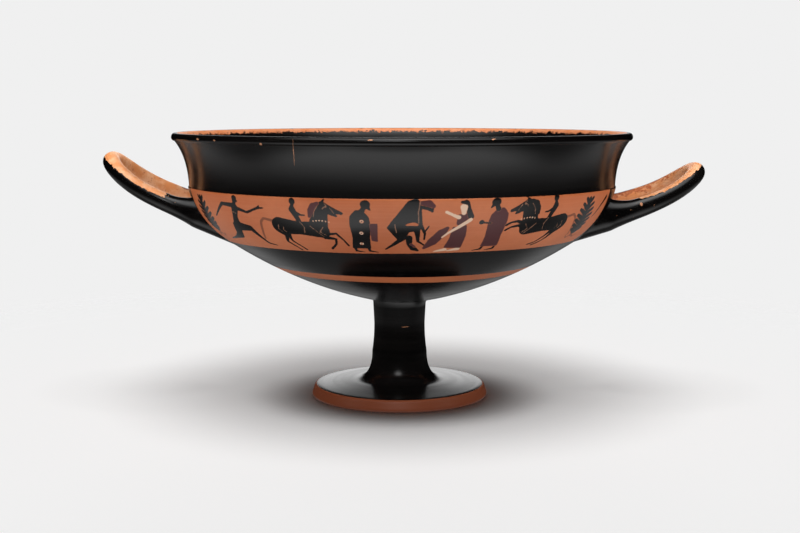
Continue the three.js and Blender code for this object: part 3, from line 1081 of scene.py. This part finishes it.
def make_finish():
    """Bare clay, slip over it, added colours over the slip, cuts through it, and wear through it all."""
    finish = bpy.data.materials.new("slip_painted_clay")
    finish.use_nodes = True
    tree = finish.node_tree
    tree.nodes.clear()
    where = place(tree, "TexCoord").outputs["Object"]

    def painted(name):
        """The number that the mesh stores under this name."""
        return place(tree, "Attribute", attribute_name=name).outputs["Fac"]

    def grouped(group, *pairs):
        """The outputs of a group that reads the place and whatever else the pairs give it."""
        return place(tree, "Group", [("Place", where), *pairs], node_tree=group).outputs

    rings = grouped(make_brush_rings(), ("Run", painted("run")))
    bare = grouped(make_flakes(), ("Chance", painted("wear")))["Bare"]
    clay = grouped(make_clay(), ("Rings", rings["Fine"]))["Color"]

    shake = math_node(tree, "SUBTRACT", noise(tree, where, *EDGE_NOISE), 0.5)
    shake = math_node(tree, "MULTIPLY", shake, EDGE_SHAKE)

    def cover(name, softness=EDGE_SOFTNESS):
        """0 to 1 as a colour's depth, shaken a little by noise, passes nought."""
        depth = math_node(tree, "ADD", painted(name), shake)
        return edge(tree, depth, -softness, softness)

    black = math_node(tree, "MULTIPLY", cover("slip"), math_node(tree, "SUBTRACT", 1.0, bare))
    thin = math_node(tree, "MULTIPLY", cover("thin"), THIN_SHARE)
    dense = edge(tree, rings["Broad"], *DENSE_BETWEEN)
    slip_colour = mix(tree, dense, *PALETTE["slip"])
    streaks = edge(tree, noise(tree, where, *STREAK_NOISE), *STREAKS_BETWEEN)
    polished = mix(tree, streaks, *PALETTE["polished clay"])
    polished_share = math_node(tree, "MULTIPLY", bare, painted("grip"))
    height = place(tree, "SeparateXYZ", [("Vector", where)]).outputs["Z"]
    # Painted shade: the clay darkens from 9 mm down to 5 mm above the floor, for the shadow of the bowl
    # over the foot.
    painted_foot_shade = math_node(tree, "MULTIPLY", edge(tree, height, FOOT_SHADE_FROM, FOOT_SHADE_FULL), FOOT_SHADE_SHARE)
    scratch = math_node(tree, "MULTIPLY", cover("cut", CUT_SOFTNESS), CUT_SHARE)
    nick = make_nick()
    nicked = 0.0
    for centre, half, raggedness in NICKS:
        one = grouped(nick, ("Centre", [size * MM for size in centre]),
                      ("Half", [size * MM for size in half]), ("Raggedness", raggedness * MM * 2))
        nicked = math_node(tree, "MAXIMUM", nicked, one["Share"])
    layers = [
        # painted shade round the foot, laid first, under everything else
        (painted_foot_shade, PALETTE["painted_foot_shade"]),
        (polished_share, polished),
        (thin, PALETTE["thin slip"]),
        (black, slip_colour),
        (cover("purple"), PALETTE["purple"]),
        (cover("white"), PALETTE["white"]),
        (scratch, PALETTE["cut"]),
        (nicked, PALETTE["nick"]),
    ]
    colour = clay
    for share, over in layers:
        colour = mix(tree, share, colour, over)

    gloss = place(tree, "MapRange", [
        ("Value", rings["Broad"]), ("From Min", RINGS_BETWEEN[0]), ("From Max", RINGS_BETWEEN[1]),
        ("To Min", SLIP_ROUGHNESS[0]), ("To Max", SLIP_ROUGHNESS[1]),
    ]).outputs["Result"]
    roughness = mix_value(tree, black, CLAY_ROUGHNESS, gloss)

    relief = math_node(tree, "MULTIPLY", black, SLIP_RELIEF)
    grain = noise(tree, where, *GRAIN_NOISE)
    for swell, share in ((rings["Fine"], RING_RELIEF), (grain, GRAIN_RELIEF)):
        relief = math_node(tree, "ADD", relief, math_node(tree, "MULTIPLY", swell, share))
    bump = place(tree, "Bump", [("Strength", 0.5), ("Distance", RELIEF_DEPTH), ("Height", relief)])

    surface = place(tree, "BsdfPrincipled", [
        ("Base Color", colour), ("Roughness", roughness), ("Normal", bump.outputs["Normal"]),
        ("IOR", 1.5),
    ])
    result = place(tree, "OutputMaterial")
    tree.links.new(surface.outputs["BSDF"], result.inputs["Surface"])
    return finish


SHARP_ANGLE = 38

finish = make_finish()
body.data.materials.clear()
body.data.materials.append(finish)
body.data.polygons.foreach_set("material_index", np.zeros(len(body.data.polygons), np.int32))
body.data.shade_smooth()
body.data.set_sharp_from_angle(angle=math.radians(SHARP_ANGLE))
print("material:", finish.name, "with", len(finish.node_tree.nodes), "nodes")

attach(body, "root")
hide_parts("kylix")

# %% [markdown]
# ## Studio
# A pale floor that runs into a pale ground behind. A soft lamp high overhead draws the shadow, and
# weaker ones fill in round the cup, linked to it alone. Glossy black slip would mirror a pale room
# all over and look grey, so it mirrors a room of its own: dark, with a few soft boxes and a floor.

# %% Lamps
LAMPS = {
    # name: turn from the front and height in degrees, width in degrees, brightness, whether it
    # lights the floor too
    "overhead": (0, 83, 40, 0.62, True),
    "behind": (180, 20, 24, 0.08, True),
    "front fill": (0, 35, 40, 0.22, False),
    "left fill": (-68, 24, 30, 0.50, False),
    "right fill": (68, 24, 30, 0.56, False),
    "back fill": (180, 30, 40, 0.25, False),
}
AMBIENT = 0.04


def make_lamp(name, turn, height, width, brightness, lights_floor):
    """A distant round lamp. A white face turned to it shines with the given brightness."""
    sun = bpy.data.lights.new(name, "SUN")
    sun.energy = math.pi * brightness
    sun.angle = math.radians(width)
    lamp = bpy.data.objects.new(name, sun)
    lamp.rotation_euler = (math.radians(90 - height), 0, math.radians(turn))
    lamp.visible_glossy = False
    bpy.context.scene.collection.objects.link(lamp)
    if not lights_floor:
        lamp.light_linking.receiver_collection = cup_only


cup_only = bpy.data.collections.new("lit by the fills")
cup_only.objects.link(body)
for name, settings in LAMPS.items():
    make_lamp(name, *settings)
on_floor = AMBIENT + sum(
    brightness * math.sin(math.radians(height))
    for _, height, _, brightness, lights_floor in LAMPS.values() if lights_floor
)
print("lamps:", len(LAMPS), "light on the floor:", round(on_floor, 3))

# %% The room that the glaze mirrors
BACKGROUND = 0.871
SOFT_BOXES = [
    # axis, cosine where it starts, cosine where it is full, strength
    ((0.22, -0.22, 0.95), 0.88, 0.98, 2.0),
    ((-0.22, -0.22, 0.95), 0.88, 0.98, 2.0),
    ((-0.08, -0.80, 0.60), 0.980, 0.997, 4.0),
    ((0, 1, 0.16), 0.962, 0.994, 1.35),
]
# The floor and the shade on it, by how far a direction points down: where each starts, where it is
# full, and its strength.
FLOOR_IN_FRONT = (0.13, 0.85, 1.15)
SHADE_IN_FRONT = (0.88, 0.97, 0.90)
FLOOR_BEHIND = (0.12, 0.40, 0.32)
SHADE_BEHIND = (0.40, 0.65, 0.70)
TURNS_TO_FRONT = (0.1, -0.4)


def make_room():
    """A world that is a flat pale ground to the camera, a few soft boxes and a floor to the glaze, and
    a faint even light to everything else."""
    room = bpy.data.worlds.new("studio")
    room.use_nodes = True
    tree = room.node_tree
    tree.nodes.clear()
    direction = place(tree, "TexCoord").outputs["Generated"]
    axes = place(tree, "SeparateXYZ", [("Vector", direction)])
    down = math_node(tree, "MULTIPLY", axes.outputs["Z"], -1.0)

    def slope(low, full, strength):
        """A strength that grows as a direction points further down."""
        return math_node(tree, "MULTIPLY", edge(tree, down, low, full), strength)

    def floor_look(glow, shade):
        """The floor's brightness, less the shade near the foot."""
        lit = math_node(tree, "SUBTRACT", 1.0, slope(*shade))
        return math_node(tree, "MULTIPLY", slope(*glow), lit)

    behind = floor_look(FLOOR_BEHIND, SHADE_BEHIND)
    in_front = floor_look(FLOOR_IN_FRONT, SHADE_IN_FRONT)
    mirrored = mix_value(tree, edge(tree, axes.outputs["Y"], *TURNS_TO_FRONT), behind, in_front)
    for axis, start, full, strength in SOFT_BOXES:
        straight = np.array(axis) / np.linalg.norm(axis)
        towards = combine(tree, "DOT_PRODUCT", direction, straight)["Value"]
        box = math_node(tree, "MULTIPLY", edge(tree, towards, start, full), strength)
        mirrored = math_node(tree, "ADD", mirrored, box)
    ray = place(tree, "LightPath").outputs
    level = mix_value(tree, ray["Is Glossy Ray"], AMBIENT, mirrored)
    level = mix_value(tree, ray["Is Camera Ray"], level, BACKGROUND)
    light = place(tree, "Background", [("Color", (1, 1, 1, 1)), ("Strength", level)])
    tree.links.new(light.outputs[0], place(tree, "OutputWorld").inputs["Surface"])
    return room


bpy.context.scene.world = make_room()
print("soft boxes in the mirrored room:", len(SOFT_BOXES))

# %% The floor
FLOOR_RADIUS = 0.42
FLOOR_CIRCLES, FLOOR_SIDES = 13, 96
FADE = 0.14
OWN_LIGHT = 0.38 * BACKGROUND
# Painted contact shadow: the floor's own glow is missing inside the first radius and full beyond the
# second, in metres.
PAINTED_CONTACT_SHADOW = (0.040, 0.080)
albedo = (BACKGROUND - OWN_LIGHT) / on_floor
print("floor albedo:", round(albedo, 3))


def make_floor():
    """A disc as pale as the ground behind it. A share of its light is its own glow, which lifts the
    shadow;
    the glow fades out near the foot as a painted contact shadow; its edge fades out, and the glaze looks
    through it at the room."""
    turn = np.arange(FLOOR_SIDES) / FLOOR_SIDES * 2 * math.pi
    circles = [np.zeros((1, 3))] + [
        np.column_stack([radius * np.cos(turn), radius * np.sin(turn), np.zeros(FLOOR_SIDES)]) / MM
        for radius in np.linspace(0, FLOOR_RADIUS, FLOOR_CIRCLES)[1:]
    ]
    floor = make_object("floor", *skin(circles))
    pale = bpy.data.materials.new("pale floor")
    pale.use_nodes = True
    tree = pale.node_tree
    tree.nodes.clear()
    where = place(tree, "TexCoord").outputs["Object"]
    away = place(tree, "VectorMath", [(0, where)], operation="LENGTH").outputs["Value"]
    gone = edge(tree, away, FLOOR_RADIUS - FADE, FLOOR_RADIUS)
    unseen = math_node(tree, "MAXIMUM", gone, place(tree, "LightPath").outputs["Is Glossy Ray"])
    matt = place(tree, "BsdfDiffuse", [("Color", (albedo, albedo, albedo, 1))])
    # Painted contact shadow: the glow fades out near the foot, so the floor there is darker.
    lift = math_node(tree, "MULTIPLY", edge(tree, away, *PAINTED_CONTACT_SHADOW), OWN_LIGHT)
    own = place(tree, "Emission", [("Color", (1, 1, 1, 1)), ("Strength", lift)])
    both = place(tree, "AddShader", [(0, matt.outputs[0]), (1, own.outputs[0])])
    clear = place(tree, "BsdfTransparent")
    seen = place(tree, "MixShader", [(0, unseen), (1, both.outputs[0]), (2, clear.outputs[0])])
    result = place(tree, "OutputMaterial")
    tree.links.new(seen.outputs[0], result.inputs["Surface"])
    floor.data.materials.append(pale)
    return floor


floor = make_floor()

# %% [markdown]
# ## Camera
# A long lens at the height of a seated viewer's eyes, a little above the rim.

# %% The camera
CAMERA_PLACE = (-0.00095, -0.630, 0.14217)
CAMERA_TILT = 82.871
LENS = 58.26

lens = bpy.data.cameras.new("camera")
lens.lens = LENS
camera = bpy.data.objects.new("camera", lens)
camera.location = CAMERA_PLACE
camera.rotation_euler = (math.radians(CAMERA_TILT), 0, 0)
bpy.context.scene.collection.objects.link(camera)
bpy.context.scene.camera = camera
bpy.context.scene.view_settings.view_transform = "Standard"
print("lens:", LENS, "mm, camera at", CAMERA_PLACE)
